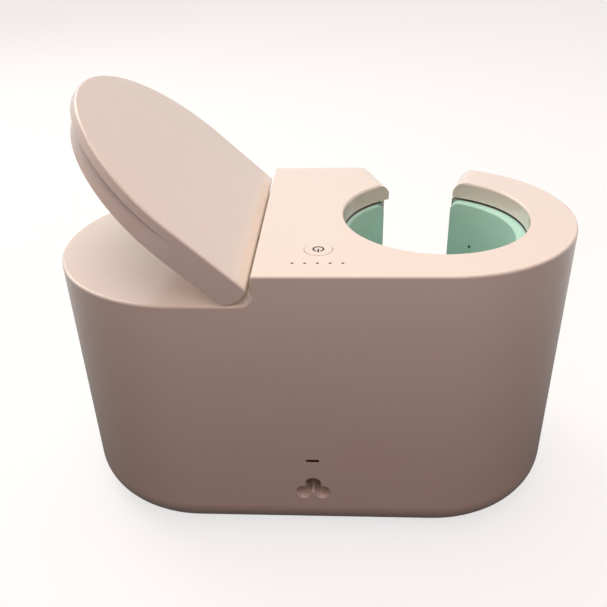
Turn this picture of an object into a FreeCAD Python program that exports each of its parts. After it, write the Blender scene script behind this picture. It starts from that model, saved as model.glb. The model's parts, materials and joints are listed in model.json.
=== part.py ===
import FreeCAD, Part
import math
import os
import re

# A benchtop mug heat press, in millimetres. The origin is on the table, under the middle of the
# body. X runs from the lever end to the mug bay, Y from the inlet side to the handle gap, Z up.
# The lever is drawn open, as it stands at rest.

doc = FreeCAD.newDocument("MugPress")
sheet = doc.addObject("Spreadsheet::Sheet", "Sizes")

driving_sizes = {
    # body
    "endRadius": 69.5, "endOffset": 62.5, "topHeight": 157.5, "footProud": 1.5,
    "stepOffset": 25.5, "deckDrop": 15.1, "wallThick": 3.0,
    "topEdgeRound": 1.2, "bottomEdgeRound": 17.0, "stepCrestRound": 1.5, "stepRootRound": 6.5,
    "floorLip": 2.0, "plateGap": 0.3,
    # clearances, and how far a cutting tool reaches past what it cuts
    "looseGap": 0.3, "runGap": 0.06, "pressGap": 0.02, "slotSlack": 0.2, "driveGap": 1.0,
    "cutSpare": 1.0, "farReach": 200.0,
    # mug bay and handle gap
    "rimRadius": 47.0, "rimDepth": 9.5, "gapShift": 3.3, "gapInnerHalf": 13.2, "gapInnerReach": 30.0,
    "gapFlare": 18.5, "gapTopRound": 8.5, "gapSill": 34.0, "jawTipRound": 2.0, "jawOuterRound": 7.0,
    "cupRadius": 54.0, "cupWall": 1.2, "cupFloor": 30.0, "cupTopGap": 6.0,
    "platformRadius": 40.0, "platformThick": 5.8, "matRadius": 37.0, "matThick": 1.5,
    # heated jaws
    "padRadius": 42.9, "padShift": 1.75, "jawRadius": 46.5, "jawThick": 2.2, "lagThick": 3.0,
    "padFoot": 40.0, "padTopGap": 1.0, "padStart": 8.0, "padEndRight": 18.7, "padEndLeft": 32.5,
    "lagStart": 15.0,
    "pinSpread": 5.5, "pinReach": 49.5, "pinRadius": 1.5, "pinProud": 0.5, "knuckleRadius": 3.2,
    "fingerHalf": 1.2, "fingerRise": 44.0, "fingerTall": 8.0, "forkHalf": 3.2, "forkSlack": 0.45,
    "jawSwing": 3.5, "armDrop": 52.5, "armThick": 3.0, "armHalf": 5.0,
    "studX": 26.0, "studRadius": 2.5, "studTall": 3.7,
    "windowSlack": 2.5, "windowSwing": 3.0, "windowDeep": 8.0,
    "sensorRadius": 0.8, "sensorAngle": 50.9, "sensorDrop": 35.7, "sensorSunk": 0.1,
    # lever
    "leverGap": 0.7, "leverThick": 13.9, "openAngle": 43.3, "pivotX": 36.0, "pivotDrop": 3.0,
    "leverSkin": 2.3, "leverRim": 9.0, "leverCavityEnd": 5.5, "lipReach": 6.0, "lipThick": 4.6,
    "heelRound": 8.5, "leverEdgeRound": 1.0, "leverHingeRound": 2.5, "coverThick": 2.0, "coverGap": 0.25,
    "bossRadius": 3.0, "frameThick": 1.5, "frameLong": 42.0, "frameHalf": 14.0,
    "bumperRadius": 3.0, "bumperTall": 1.0, "bumperX": 42.0, "bumperInset": 8.5,
    "bossNearX": 16.0, "bossNearInset": 22.5, "bossFarReach": 39.5, "bossFarInset": 35.5,
    "leverScrewLong": 9.0,
    "postSpread": 34.0, "postHalf": 3.0, "postAngle": 17.0, "postSlack": 3.0,
    "trunnionRadius": 1.6, "trunnionReach": 5.0, "trunnionSlack": 0.3,
    # clamp drive
    "crankLong": 30.0, "crankHalf": 3.2, "crankThick": 5.0, "crankEye": 4.0, "crankStart": 3.5,
    "crankPinRadius": 1.75, "crankPinHalf": 7.6, "crankSlotHalf": 9.4, "crankSlotSide": 1.5,
    "neckReach": 2.0, "neckDrop": 3.5, "neckGap": 0.1, "crankFootLong": 24.0, "crankFootHalf": 8.0,
    "crankFootThick": 3.0,
    "railX": 62.0, "railLong": 52.5, "railRadius": 2.0, "railSpread": 14.0, "railDrop": 41.5,
    "bracketThick": 5.0, "bracketHalf": 20.0, "carriagePlate": 3.0, "plateFront": 3.0,
    "plateBack": 7.0, "carriageReach": 26.0, "hubHalf": 7.0, "hubSide": 18.0, "hubDrop": 37.7,
    "cheekInner": 3.0, "cheekThick": 4.0, "cheekHalf": 5.2, "cheekDrop": 26.5, "cheekBite": 0.5,
    # screws, feet and supports
    "baseScrewOut": 13.5, "baseScrewInset": 25.5, "baseHeadRadius": 3.2, "baseHeadTall": 1.6,
    "baseShankRadius": 1.5, "baseScrewLong": 14.0, "ribHalf": 4.5, "ribTall": 19.0,
    "smallHeadRadius": 2.2, "smallHeadTall": 1.4, "smallShankRadius": 1.1, "postScrewLong": 10.0,
    "screwEndGap": 0.5, "cupPostRadius": 4.0, "cupPostX": 28.0, "cupPostY": 24.0,
    "footInset": 39.5, "footRadius": 8.0, "footSunk": 0.8,
    # power button, its switch and the lights
    "buttonX": 3.8, "buttonInset": 27.1, "buttonRadius": 6.6, "buttonGap": 0.25, "buttonBrim": 1.6,
    "brimThick": 1.5, "buttonProud": 0.1, "buttonTravel": 0.8, "stemRadius": 2.0,
    "plungerRadius": 1.5, "plungerDrop": 3.5, "switchTall": 3.5, "switchHalf": 3.0,
    "lightInset": 12.9, "lightPitch": 5.7, "lightRadius": 0.7, "ledHalf": 1.2, "ledTall": 1.4,
    "boardThick": 1.6, "boardDrop": 10.5, "boardScrewX": 15.0, "boardScrewNear": 5.7,
    "boardScrewFar": 5.0, "boardScrewLong": 8.0, "boardMargin": 3.0,
    # mains inlet and charging socket
    "inletHeight": 32.2, "inletHalf": 13.0, "inletTall": 20.0, "inletDeep": 17.0, "inletFloor": 3.0,
    "lobeRadius": 4.2, "lobeSpread": 4.9, "lobeRise": 5.7, "lobeWaist": 0.2, "openingGap": 0.1,
    "inletPinRadius": 1.2, "inletPinStart": 3.0,
    "usbHeight": 51.0, "usbHalfWide": 3.5, "usbHalfTall": 0.9, "usbShellThick": 0.5, "usbFloor": 2.0,
    "tongueHalf": 0.35, "tongueSide": 0.9,
    # power board and its larger parts
    "powerBoardHeight": 12.0, "powerBoardX": 38.0, "powerBoardHalf": 33.0, "powerBoardSide": 28.0,
    "standoffInset": 4.0, "capacitorX": 17.0, "capacitorY": 14.0, "capacitorRadius": 10.0,
    "capacitorTall": 28.0, "chokeX": 16.0, "chokeY": 14.0, "chokeRadius": 11.0, "chokeWall": 6.0,
    "chokeTall": 14.0, "relayX": 6.0, "relayY": 22.0, "relayLong": 20.0, "relayWide": 16.0,
    "relayTall": 16.0, "sinkX": 30.0, "sinkY": 8.0, "sinkLong": 28.0, "sinkBase": 4.5,
    "sinkTall": 30.0, "finPitch": 4.0, "finThick": 1.2,
}
fin_count = 5
light_count = 5
edge_tolerance = 0.01

# Places that follow from the driving sizes
derived_places = {
    "deckHeight": "topHeight - deckDrop",
    "ceilingHeight": "topHeight - wallThick",
    "rimFoot": "topHeight - rimDepth",
    "plateTop": "footProud + wallThick",
    "openingRadius": "endRadius - bottomEdgeRound - floorLip",
    "wallInside": "wallThick - endRadius",
    "padTall": "rimFoot - padTopGap - padFoot",
    "lagRadius": "jawRadius + jawThick",
    "cupOuter": "cupRadius + cupWall",
    "cupInside": "cupFloor + cupWall",
    "armFoot": "topHeight - armDrop",
    "armX": "studX + endOffset",
    "fingerFoot": "padFoot + fingerRise",
    "sensorHeight": "topHeight - sensorDrop",
    "pivotHeight": "topHeight - pivotDrop",
    "leverFace": "pivotX - stepOffset - leverGap",
    "leverSole": "pivotDrop - leverThick",
    "leverCentre": "pivotX - endOffset",
    "skinUnder": "pivotDrop - leverSkin",
    "frameUnder": "skinUnder - frameThick",
    "bossNearY": "endRadius - bossNearInset",
    "bossFarX": "endOffset - pivotX + bossFarReach",
    "bossFarY": "endRadius - bossFarInset",
    "bumperY": "endRadius - bumperInset",
    "crankSwing": "crankLong * sin(openAngle / 2)",
    "notchReach": "(leverThick - pivotDrop) * tan(openAngle / 2) + crankHalf / cos(openAngle / 2) + looseGap",
    "carriageX": "-pivotX - crankSwing",
    "plateFoot": "armFoot + armThick + driveGap",
    "hubFoot": "plateFoot + carriagePlate",
    "hubTop": "topHeight - hubDrop",
    "bracketFoot": "hubFoot + driveGap",
    "railHeight": "topHeight - railDrop",
    "studForward": "(pinSpread - armX) * (cos(jawSwing) - 1) + pinReach * sin(jawSwing)",
    "studSide": "(armX - pinSpread) * sin(jawSwing) + pinReach * (cos(jawSwing) - 1)",
    "studRun": "sqrt((studForward - 2 * crankSwing)^2 + studSide^2)",
    "baseScrewX": "endOffset + baseScrewOut",
    "baseScrewY": "endRadius - baseScrewInset",
    "footY": "endRadius - footInset",
    "buttonY": "endRadius - buttonInset",
    "lightY": "endRadius - lightInset",
    "brimMiddle": "ceilingHeight - looseGap - brimThick / 2",
    "boardHeight": "ceilingHeight - boardDrop",
    "boardTop": "boardHeight + boardThick",
    "boardNearY": "buttonY - boardScrewNear",
    "boardFarY": "lightY + boardScrewFar",
    "switchTop": "boardTop + switchTall",
    "plungerTop": "ceilingHeight - plungerDrop",
    "plungerFoot": "switchTop - buttonTravel - looseGap",
    "lobeLow": "inletHeight - lobeRise / 2",
    "lobeHigh": "inletHeight + lobeRise / 2",
    "standoffX": "powerBoardHalf - standoffInset",
    "standoffY": "powerBoardSide - standoffInset",
    "powerBoardTop": "powerBoardHeight + boardThick",
}

for row, (alias, number) in enumerate(driving_sizes.items(), start=1):
    sheet.set("A%d" % row, alias)
    sheet.set("B%d" % row, str(number))
    sheet.setAlias("B%d" % row, alias)
doc.recompute()

bound_nodes = []


def expression(text):
    # writes out each derived place, and turns each size into its cell
    def swap(found):
        word = found.group()
        if word in derived_places:
            return "(" + expression(derived_places[word]) + ")"
        return "Sizes." + word if word in driving_sizes else word
    return re.sub(r"[A-Za-z]\w*", swap, text)


def bind(thing, **properties):
    for name, text in properties.items():
        thing.setExpression(name, expression(str(text)))
    return thing


def place(thing, x="0", y="0", z="0", turn=None, axis=(0, 0, 1)):
    if turn is not None:
        # the angle needs a turned start, because the axis of no turn is lost
        thing.Placement = FreeCAD.Placement(FreeCAD.Vector(), FreeCAD.Rotation(FreeCAD.Vector(*axis), 30))
        thing.setExpression("Placement.Rotation.Angle", expression(turn))
    for side, text in (("x", x), ("y", y), ("z", z)):
        thing.setExpression("Placement.Base." + side, expression(str(text)))
    return thing


def cylinder(name, radius, height, x="0", y="0", z="0", angle=None, turn=None, axis=(0, 0, 1)):
    thing = bind(doc.addObject("Part::Cylinder", name), Radius=radius, Height=height)
    if angle is not None:
        bind(thing, Angle=angle)
    return place(thing, x, y, z, turn, axis)


def box(name, x, y, z, wide, deep, tall, turn=None, axis=(0, 0, 1)):
    thing = bind(doc.addObject("Part::Box", name), Length=wide, Width=deep, Height=tall)
    return place(thing, x, y, z, turn, axis)


def cross_pin(name, radius, length, x, y, z):
    # a cylinder along +Y that starts at y
    return cylinder(name, radius, length, x, y, z, turn="-90", axis=(1, 0, 0))


def long_pin(name, radius, length, x, y, z):
    # a cylinder along +X that starts at x
    return cylinder(name, radius, length, x, y, z, turn="90", axis=(0, 1, 0))


def fuse(name, *pieces):
    thing = doc.addObject("Part::MultiFuse", name)
    thing.Shapes = list(pieces)
    thing.Refine = True
    return thing


def cut(name, base, *tools):
    thing = doc.addObject("Part::Cut", name)
    thing.Base = base
    thing.Tool = tools[0] if len(tools) == 1 else fuse(name + "Tools", *tools)
    thing.Refine = True
    return thing


def common(name, base, tool):
    thing = doc.addObject("Part::Common", name)
    thing.Base = base
    thing.Tool = tool
    return thing


def group(name, pieces):
    # separate solids that share one node
    thing = doc.addObject("Part::Compound", name)
    thing.Links = list(pieces)
    return thing


def holder(name, pieces, x="0", y="0", z="0", turn=None, axis=(0, 0, 1)):
    # moves and turns a set of pieces about their own origin
    return place(group(name, pieces), x, y, z, turn, axis)


def node(thing, label):
    thing.Label = label
    bound_nodes.append(thing)
    return thing


def fillet(name, base, rounds):
    # rounds is a list of (radius, test); a test picks edges of the finished base by their place
    doc.recompute()
    thing = doc.addObject("Part::Fillet", name)
    thing.Base = base
    picked = []
    for index, edge in enumerate(base.Shape.Edges, start=1):
        for radius, test in rounds:
            if test(edge):
                picked.append((index, radius, radius))
                break
    if not picked:
        raise ValueError("no edge to round in " + name)
    thing.Edges = picked
    doc.recompute()
    return thing


def stadium(name, radius, foot, tall):
    # a tall prism over two end circles and the straight run between them
    return fuse(
        name,
        cylinder(name + "Left", radius, tall, "-endOffset", "0", foot),
        cylinder(name + "Right", radius, tall, "endOffset", "0", foot),
        box(name + "Middle", "-endOffset", "-(%s)" % radius, foot, "2 * endOffset", "2 * (%s)" % radius,
            tall),
    )


def gap_wedge(name, spread, foot, top):
    # the handle gap, wider towards the outside, between two heights
    wedge = doc.addObject("Part::Wedge", name)
    near = "gapInnerHalf + " + spread
    far = near + " + (endRadius + cutSpare - gapInnerReach) * tan(gapFlare)"
    bind(
        wedge,
        Xmin="-(%s)" % near, Xmax=near, X2min="-(%s)" % far, X2max=far,
        Ymin="gapInnerReach", Ymax="endRadius + cutSpare",
        Zmin=foot, Zmax=top, Z2min=foot, Z2max=top,
    )
    return place(wedge, "endOffset - gapShift")


def each_corner(x, y):
    return [(sx + x, sy + y) for sx in ("-", "") for sy in ("-", "")]


def screw(name, x, y, z, head_radius, head_tall, shank_radius, length):
    # a screw that is driven upwards, from its head at z
    head = cylinder(name + "Head", head_radius, head_tall, x, y, z)
    shank = cylinder(name + "Shank", shank_radius, length, x, y, z)
    return fuse(name, head, shank)


def screws_and_holes(name, places, z, head_radius, head_tall, shank_radius, length, head_hole=True):
    # the screws as one group, and the tools that cut their holes with a running fit
    made = []
    holes = []
    for count, (x, y) in enumerate(places, start=1):
        made.append(screw("%s%d" % (name, count), x, y, z, head_radius, head_tall, shank_radius, length))
        shank = cylinder("%sHole%d" % (name, count), shank_radius + " + runGap", length + " + screwEndGap",
                         x, y, z)
        holes.append(shank)
        if head_hole:
            sink = cylinder("%sSink%d" % (name, count), head_radius + " + runGap", head_tall, x, y, z)
            holes.append(sink)
    return group(name, made), holes


def size(name):
    return float(sheet.get(name))


def level(edge, height):
    # true for an edge that lies flat at this height
    bounds = edge.BoundBox
    return abs(bounds.ZMin - height) < edge_tolerance and abs(bounds.ZMax - height) < edge_tolerance


def crosses_at(edge, x):
    # true for an edge along Y at this x
    return abs(edge.BoundBox.Center.x - x) < edge_tolerance and edge.BoundBox.XLength < edge_tolerance


def upright(edge, x, y):
    # true for a vertical edge at this place in plan, on either side of the middle
    bounds = edge.BoundBox
    flat = bounds.XLength < edge_tolerance and bounds.YLength < edge_tolerance
    return flat and math.hypot(bounds.Center.x - x, abs(bounds.Center.y) - y) < size("topEdgeRound") / 2


# Upper housing: the outer block with its lowered deck, mug hole and handle gap
end_offset = size("endOffset")
top_height = size("topHeight")
deck_height = top_height - size("deckDrop")
step_x = -size("stepOffset")
block = stadium("HousingBlock", "endRadius", "footProud", "topHeight - footProud")
lowered = box("LoweredDeck", "-farReach", "-farReach / 2", "deckHeight",
              "farReach - stepOffset", "farReach", "deckDrop + cutSpare")
mug_hole = cylinder("MugHole", "rimRadius", "rimDepth + 2 * cutSpare", "endOffset", "0", "rimFoot - cutSpare")
handle_gap = gap_wedge("HandleGap", "0", "gapSill", "topHeight + cutSpare")
block_cut = cut("HousingCut", block, lowered, mug_hole, handle_gap)

# Corners of the handle gap in plan: where its flanks meet the rim circle and the outer wall
flank_slope = math.tan(math.radians(size("gapFlare")))


def flank_corner(radius, side):
    # the flank is x = foot_x + slope * y; this is where it crosses a circle about the bay axis
    foot_x = size("gapInnerHalf") - flank_slope * size("gapInnerReach") - side * size("gapShift")
    a = 1 + flank_slope ** 2
    b = foot_x * flank_slope
    y = (-b + math.sqrt(b * b - a * (foot_x ** 2 - radius ** 2))) / a
    return end_offset + side * (foot_x + flank_slope * y), y


def at_corners(radius):
    # a test for the upright edges where the two flanks cross this circle
    right, left = flank_corner(radius, 1), flank_corner(radius, -1)
    return lambda edge: upright(edge, *right) or upright(edge, *left)


block_rounded = fillet("HousingRounded", block_cut, [
    (size("jawTipRound"), at_corners(size("rimRadius"))),
    (size("jawOuterRound"), at_corners(size("endRadius"))),
    (size("stepRootRound"), lambda edge: level(edge, deck_height) and crosses_at(edge, step_x)),
    (size("stepCrestRound"), lambda edge: level(edge, top_height) and crosses_at(edge, step_x)),
    (size("bottomEdgeRound"), lambda edge: level(edge, size("footProud"))),
])


def top_outline(edge):
    # the outer, rim and deck outlines, but not the tangent lines of the step
    flat_top = level(edge, top_height) or level(edge, deck_height)
    return flat_top and edge.BoundBox.XLength > edge_tolerance


block_soft = fillet("HousingSoft", block_rounded, [(size("topEdgeRound"), top_outline)])


def gap_roll(name, side):
    # what rounds the top off one flank of the handle gap, over the whole depth of the rim
    sign = "" if side > 0 else "-"
    low_x = "-cutSpare" if side > 0 else "-gapTopRound"
    waste = box(name + "Waste", low_x, "0", "topHeight - gapTopRound", "gapTopRound + cutSpare", "endRadius",
                "gapTopRound + cutSpare")
    keep = cross_pin(name + "Keep", "gapTopRound", "endRadius + 2 * cutSpare", sign + "gapTopRound",
                     "-cutSpare", "topHeight - gapTopRound")
    return holder(name, [cut(name + "Cut", waste, keep)], "endOffset - gapShift + (%sgapInnerHalf)" % sign,
                  "gapInnerReach", "0", turn="(%d) * gapFlare" % -side)


block_rolled = cut("HousingRolled", block_soft, gap_roll("RightRoll", 1), gap_roll("LeftRoll", -1))

# Inside of the housing: one hollow under the deck, a higher one under the raised top
hollow_low = stadium("HollowLow", "endRadius - wallThick", "plateTop", "deckHeight - wallThick - plateTop")
hollow_high = stadium("HollowHigh", "endRadius - wallThick", "plateTop", "ceilingHeight - plateTop")
raised_side = box("RaisedSide", "wallThick - stepOffset", "-farReach / 2", "0", "farReach", "farReach",
                  "farReach")
hollow = fuse("HollowBoth", hollow_low, common("HollowRaised", hollow_high, raised_side))
hollow_round = fillet("HollowRound", hollow, [
    (size("bottomEdgeRound") - size("wallThick"),
     lambda edge: level(edge, size("footProud") + size("wallThick"))),
])
rim_ring = cylinder("RimRing", "rimRadius + wallThick", "rimDepth + cutSpare", "endOffset", "0", "rimFoot")
gap_walls = cut(
    "GapWalls",
    gap_wedge("GapWallBlock", "wallThick", "gapSill - wallThick", "topHeight + cutSpare"),
    cylinder("GapWallTrim", "cupOuter + looseGap", "rimFoot", "endOffset"),
)

# Screws that hold the base, the hinge posts and the switch board
base_screws, base_holes = screws_and_holes(
    "BaseScrew", each_corner("baseScrewX", "baseScrewY"), "footProud",
    "baseHeadRadius", "baseHeadTall", "baseShankRadius", "baseScrewLong",
)
post_screws, post_holes = screws_and_holes(
    "PostScrew", [("-pivotX", "-postSpread"), ("-pivotX", "postSpread")],
    "deckHeight - wallThick - smallHeadTall",
    "smallHeadRadius", "smallHeadTall", "smallShankRadius", "postScrewLong",
)
board_places = [
    (x, y) for y in ("-boardNearY", "-boardFarY") for x in ("buttonX - boardScrewX", "buttonX + boardScrewX")
]
board_screws, board_holes = screws_and_holes(
    "BoardScrew", board_places, "boardHeight - smallHeadTall",
    "smallHeadRadius", "smallHeadTall", "smallShankRadius", "boardScrewLong", head_hole=False,
)

# What stays solid inside the hollow: screw ribs at the base, bosses for the switch board
ribs = []
for count, (x, y) in enumerate(each_corner("baseScrewX", "baseScrewY"), start=1):
    low_y = "-endRadius" if y.startswith("-") else "baseScrewY - ribHalf"
    ribs.append(box("ScrewRib%d" % count, x + " - ribHalf", low_y, "plateTop",
                    "2 * ribHalf", "endRadius - baseScrewY + ribHalf", "ribTall"))
bosses = [
    cylinder("BoardBoss%d" % count, "bossRadius", "topHeight - boardTop", x, y, "boardTop")
    for count, (x, y) in enumerate(board_places, start=1)
]
gap_crests = gap_wedge("GapCrests", "gapTopRound", "topHeight - gapTopRound", "topHeight + cutSpare")
hollow_cut = cut("HollowCut", hollow_round, rim_ring, gap_walls, gap_crests, *ribs, *bosses)


def clover(name, spread, y, deep):
    # the three-lobed mains opening, seen along +Y, from y inwards
    radius = "lobeRadius + " + spread
    return fuse(
        name,
        cross_pin(name + "Left", radius, deep, "-lobeSpread", y, "lobeLow"),
        cross_pin(name + "Right", radius, deep, "lobeSpread", y, "lobeLow"),
        cross_pin(name + "Top", radius, deep, "0", y, "lobeHigh"),
        box(name + "Middle", "looseGap - lobeRadius", y, "lobeLow - lobeWaist", "2 * (lobeRadius - looseGap)",
            deep, "lobeRise + lobeWaist"),
    )


bottom_opening = stadium("BottomOpening", "openingRadius", "0", "plateTop + plateGap")
deck_slot = box("DeckSlot", "-pivotX - crankSlotHalf", "-crankThick / 2 - crankSlotSide",
                "deckHeight - wallThick - cutSpare", "2 * crankSlotHalf", "crankThick + 2 * crankSlotSide",
                "wallThick + stepRootRound + 2 * cutSpare")
button_hole = cylinder("ButtonHole", "buttonRadius + buttonGap", "wallThick + 2 * cutSpare",
                       "buttonX", "-buttonY", "ceilingHeight - cutSpare")
light_places = [
    "buttonX + (%d) * lightPitch" % (count - light_count // 2) for count in range(light_count)
]
light_holes = [
    cylinder("LightHole%d" % count, "lightRadius + runGap", "wallThick + 2 * cutSpare", x, "-lightY",
             "ceilingHeight - cutSpare")
    for count, x in enumerate(light_places, start=1)
]
inlet_opening = clover("InletOpening", "openingGap", "-endRadius - cutSpare", "wallThick + cutSpare")
usb_opening = fuse(
    "UsbOpening",
    box("UsbOpeningMiddle", "usbHalfTall - usbHalfWide", "-endRadius - cutSpare", "usbHeight - usbHalfTall",
        "2 * (usbHalfWide - usbHalfTall)", "wallThick + cutSpare", "2 * usbHalfTall"),
    cross_pin("UsbOpeningLeft", "usbHalfTall", "wallThick + cutSpare", "usbHalfTall - usbHalfWide",
              "-endRadius - cutSpare", "usbHeight"),
    cross_pin("UsbOpeningRight", "usbHalfTall", "wallThick + cutSpare", "usbHalfWide - usbHalfTall",
              "-endRadius - cutSpare", "usbHeight"),
)
node(cut("UpperHousing", block_rolled, hollow_cut, bottom_opening, deck_slot, button_hole, *light_holes,
         inlet_opening, usb_opening, *base_holes, *post_holes, *board_holes), "upper_housing")

# Base plate with posts for the mug cup and standoffs for the power board
plate = stadium("BasePlateBlank", "openingRadius - plateGap", "footProud", "wallThick")
cup_posts = [
    cylinder("CupPost%d" % count, "cupPostRadius", "cupFloor - plateTop", "endOffset + (%s)" % x, y,
             "plateTop")
    for count, (x, y) in enumerate(each_corner("cupPostX", "cupPostY"), start=1)
]
standoffs = [
    cylinder("Standoff%d" % count, "bossRadius", "powerBoardHeight - plateTop",
             "-powerBoardX + (%s)" % x, y, "plateTop")
    for count, (x, y) in enumerate(each_corner("standoffX", "standoffY"), start=1)
]
foot_places = each_corner("endOffset", "footY")
foot_sinks = [
    cylinder("FootSink%d" % count, "footRadius + runGap", "footSunk", x, y, "footProud")
    for count, (x, y) in enumerate(foot_places, start=1)
]
node(cut("BasePlate", fuse("BasePlateWhole", plate, *cup_posts, *standoffs), *foot_sinks, *base_holes),
     "base_plate")
node(base_screws, "base_screws")
node(group("RubberFeet", [
    cylinder("Foot%d" % count, "footRadius", "footProud + footSunk", x, y, "0")
    for count, (x, y) in enumerate(foot_places, start=1)
]), "rubber_feet")

# Cup that lines the mug bay, open at the handle gap
cup_skin = cut(
    "CupSkin",
    cylinder("CupOuter", "cupOuter", "rimFoot - cupTopGap - cupFloor", "endOffset", "0", "cupFloor"),
    cylinder("CupInner", "cupRadius", "topHeight", "endOffset", "0", "cupInside"),
)
cup_window = box("CupWindow", "endOffset - cupOuter - cutSpare", "-armHalf - windowSlack",
                 "armFoot - windowSlack / 2", "windowDeep", "2 * (armHalf + windowSlack) + windowSwing",
                 "armThick + windowSlack")
node(cut("BayCup", cup_skin, cup_window,
         gap_wedge("CupGap", "wallThick + looseGap", "gapSill - wallThick - looseGap", "topHeight")),
         "bay_cup")
node(cylinder("MugPlatform", "platformRadius", "platformThick", "endOffset", "0", "cupInside"),
     "mug_platform")
node(cylinder("PlatformMat", "matRadius", "matThick", "endOffset", "0", "cupInside + platformThick"),
     "platform_mat")


# Heated jaws: a soft heater pad, a metal shell and lagging behind it, on an upright pin
def arc_shell(name, inner_radius, outer_radius, start, sweep, bore_x="0"):
    outer = cylinder(name + "Outer", outer_radius, "padTall", "0", "0", "padFoot", angle=sweep, turn=start)
    bore = cylinder(name + "Bore", inner_radius, "padTall + 2 * cutSpare", bore_x, "0",
                    "padFoot - cutSpare")
    return cut(name, outer, bore)


def radial_pin(name, radius, inner_end, length):
    pin = long_pin(name + "Pin", radius, length, inner_end, "0", "sensorHeight")
    return holder(name, [pin], "-padShift", turn="sensorAngle")


def sensor_hole(name):
    return radial_pin(name, "sensorRadius + runGap", "padRadius - cutSpare",
                      "lagRadius - padRadius + padShift + 2 * cutSpare")


starts = {"Right": ("-90 + padStart", "-90 + lagStart"), "Left": ("90 + padEndLeft", "90 + padEndLeft")}
for side, sign in (("Left", "-"), ("Right", "")):
    pad_start, lag_start = starts[side]
    pad_sweep, lag_sweep = ["180 - %s - padEnd%s" % (start, side) for start in ("padStart", "lagStart")]
    pin_x = sign + "pinSpread"
    # the pads' faces lie about an axis a little nearer the button than the bay's
    pad = arc_shell("Pad" + side, "padRadius", "jawRadius", pad_start, pad_sweep, bore_x="-padShift")
    shell = arc_shell("Shell" + side, "jawRadius", "lagRadius", pad_start, pad_sweep)
    lag = arc_shell("Lag" + side, "lagRadius", "lagRadius + lagThick", lag_start, lag_sweep)
    knuckle = cylinder("Knuckle" + side, "knuckleRadius", "padTall", pin_x, "-pinReach", "padFoot")
    pin_bore = cylinder("KnuckleBore" + side, "pinRadius + runGap", "padTall + 2 * cutSpare",
                        pin_x, "-pinReach", "padFoot - cutSpare")
    pad_clear = cylinder("PadClear" + side, "jawRadius", "padTall + 2 * cutSpare", "0", "0",
                         "padFoot - cutSpare")
    if side == "Left":
        arm_bar = box("JawArmBar", "-armX", "-armHalf", "armFoot", "armX - jawRadius - jawThick / 2",
                      "2 * armHalf", "armThick")
        arm_end = cylinder("JawArmEnd", "armHalf", "armThick", "-armX", "0", "armFoot")
        stud = cylinder("JawStud", "studRadius", "armThick + studTall", "-armX", "0", "armFoot")
        finger_bar = box("FingerBar", pin_x, "-pinReach - fingerHalf", "fingerFoot", "pinSpread",
                         "2 * fingerHalf", "fingerTall")
        finger_tip = cylinder("FingerTip", "fingerHalf", "fingerTall", "0", "-pinReach", "fingerFoot")
        jaw_whole = fuse("JawLeftWhole", shell, knuckle, arm_bar, arm_end, stud, finger_bar, finger_tip)
        arm_hole = box("LagArmHole", "-armX", "-armHalf - looseGap", "armFoot - looseGap", "armX",
                       "2 * (armHalf + looseGap)", "armThick + 2 * looseGap")
        lag = cut("LagLeftCut", lag, arm_hole)
    else:
        fork_block = box("ForkBlock", "-fingerHalf", "-pinReach - forkHalf", "fingerFoot", "pinSpread",
                         "2 * forkHalf", "fingerTall")
        fork_slot = box("ForkSlot", "-fingerHalf - cutSpare", "-pinReach - fingerHalf - forkSlack",
                        "fingerFoot - cutSpare", "2 * fingerHalf + cutSpare + forkSlack",
                        "2 * (fingerHalf + forkSlack)", "fingerTall + 2 * cutSpare")
        shell = cut("ShellRightCut", shell, sensor_hole("SensorHoleShell"))
        jaw_whole = fuse("JawRightWhole", shell, knuckle, cut("Fork", fork_block, fork_slot))
        pad = cut("PadRightCut", pad, sensor_hole("SensorHolePad"))
        sensor = radial_pin("Sensor", "sensorRadius", "padRadius + sensorSunk",
                            "lagRadius - padRadius - 3 * sensorSunk")
        node(holder("TemperatureSensor", [sensor], "endOffset"), "temperature_sensor")
    jaw = cut("Jaw%sCut" % side, jaw_whole, pin_bore, pad_clear)
    for name, label, piece in (("HeaterPad", "heater_pad_", pad), ("Jaw", "jaw_", jaw),
                               ("Lagging", "lagging_", lag)):
        node(holder(name + side, [piece], "endOffset"), label + side.lower())
jaw_pin_tall = "padFoot + padTall + pinProud - cupInside"
node(group("JawPins", [
    cylinder("JawPinLeft", "pinRadius", jaw_pin_tall, "endOffset - pinSpread", "-pinReach", "cupInside"),
    cylinder("JawPinRight", "pinRadius", jaw_pin_tall, "endOffset + pinSpread", "-pinReach", "cupInside"),
]), "jaw_pins")


# Lever, drawn closed about its hinge axis and then turned open as one
def on_lever(name, pieces):
    return holder(name, pieces, "-pivotX", "0", "pivotHeight", turn="openAngle", axis=(0, 1, 0))


def lever_slab(name, radius, middle, foot, tall, end):
    # a half disc about middle with a straight run to the hinge side
    whole = fuse(
        name + "Whole",
        cylinder(name + "Tip", radius, tall, middle, "0", foot),
        box(name + "Run", middle, "-(%s)" % radius, foot, "%s - (%s)" % (end, middle), "2 * (%s)" % radius,
            tall),
    )
    lever_side = box(name + "Side", end + " - farReach", "-farReach / 2", foot, "farReach", "farReach", tall)
    return common(name, whole, lever_side)


def about_hinge(name, radius, half_thick, start, sweep):
    # a pie slice about the hinge axis, measured from +X towards straight down
    return cylinder(name, radius, "2 * (%s)" % half_thick, "0", "0", "-(%s)" % half_thick, angle=sweep,
                    turn=start)


def on_crank(name, piece):
    # the crank stands square to the rails half way through the lever's swing
    return holder(name, [piece], turn="-openAngle / 2", axis=(0, 1, 0))


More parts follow.
